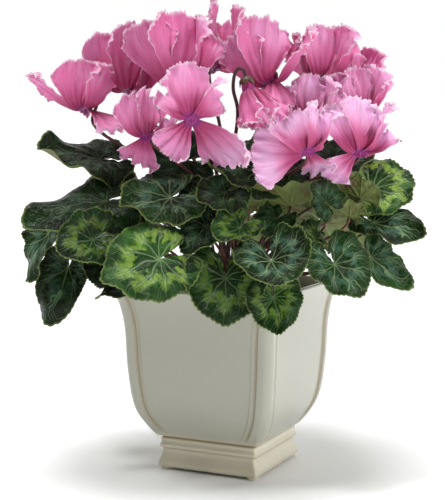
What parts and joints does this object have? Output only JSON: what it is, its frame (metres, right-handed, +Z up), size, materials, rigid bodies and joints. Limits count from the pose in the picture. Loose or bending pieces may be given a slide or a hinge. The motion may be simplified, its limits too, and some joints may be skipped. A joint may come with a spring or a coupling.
{
  "type": "potted cyclamen",
  "caption": "Flowering cyclamen with reflexed frilled petals over heart-shaped leaves, in a square bowl-sided ceramic pot on a moulded foot.",
  "frame": {"origin": "on the floor, under the middle of the whole object's outline seen from above, which is also the middle of the pot", "axes": "+Z up; X and Y square to the pot's sides; the plant's best side faces between -Y and +X, 25.5 degrees round from -Y"},
  "size_m": [0.36, 0.3431, 0.443],
  "materials": {
    "pot_glaze": "smooth glossy ivory glaze",
    "soil": "loose dark bark and peat potting mix",
    "stem": "smooth fleshy red-brown stems and tuber",
    "leaf": "satin fleshy dark green with pale marbling and pale veins",
    "petal": "soft matte pink with pale frilled edges and a magenta eye"
  },
  "bodies": {
    "root": {"pot": "pot_glaze", "soil": "soil", "tuber_and_stems": "stem", "leaf_01": "leaf", "leaf_02": "leaf", "leaf_03": "leaf", "leaf_04": "leaf", "leaf_05": "leaf", "leaf_06": "leaf", "leaf_07": "leaf", "leaf_08": "leaf", "leaf_09": "leaf", "leaf_10": "leaf", "leaf_11": "leaf", "leaf_12": "leaf", "leaf_13": "leaf", "leaf_14": "leaf", "leaf_15": "leaf", "leaf_16": "leaf", "leaf_17": "leaf", "leaf_18": "leaf", "leaf_19": "leaf", "leaf_20": "leaf", "leaf_21": "leaf", "leaf_22": "leaf", "leaf_23": "leaf", "leaf_24": "leaf", "leaf_25": "leaf", "leaf_26": "leaf", "leaf_27": "leaf", "leaf_28": "leaf", "leaf_29": "leaf", "leaf_30": "leaf", "leaf_31": "leaf", "leaf_32": "leaf", "leaf_33": "leaf", "leaf_34": "leaf", "leaf_35": "leaf", "leaf_36": "leaf", "leaf_37": "leaf", "leaf_38": "leaf", "leaf_39": "leaf", "leaf_40": "leaf", "bloom_01": "petal", "bloom_02": "petal", "bloom_03": "petal", "bloom_04": "petal", "bloom_05": "petal", "bloom_06": "petal", "bloom_07": "petal", "bloom_08": "petal", "bloom_09": "petal", "bloom_10": "petal", "bloom_11": "petal", "bloom_12": "petal", "bloom_13": "petal", "bloom_14": "petal"}
  },
  "joints": []
}
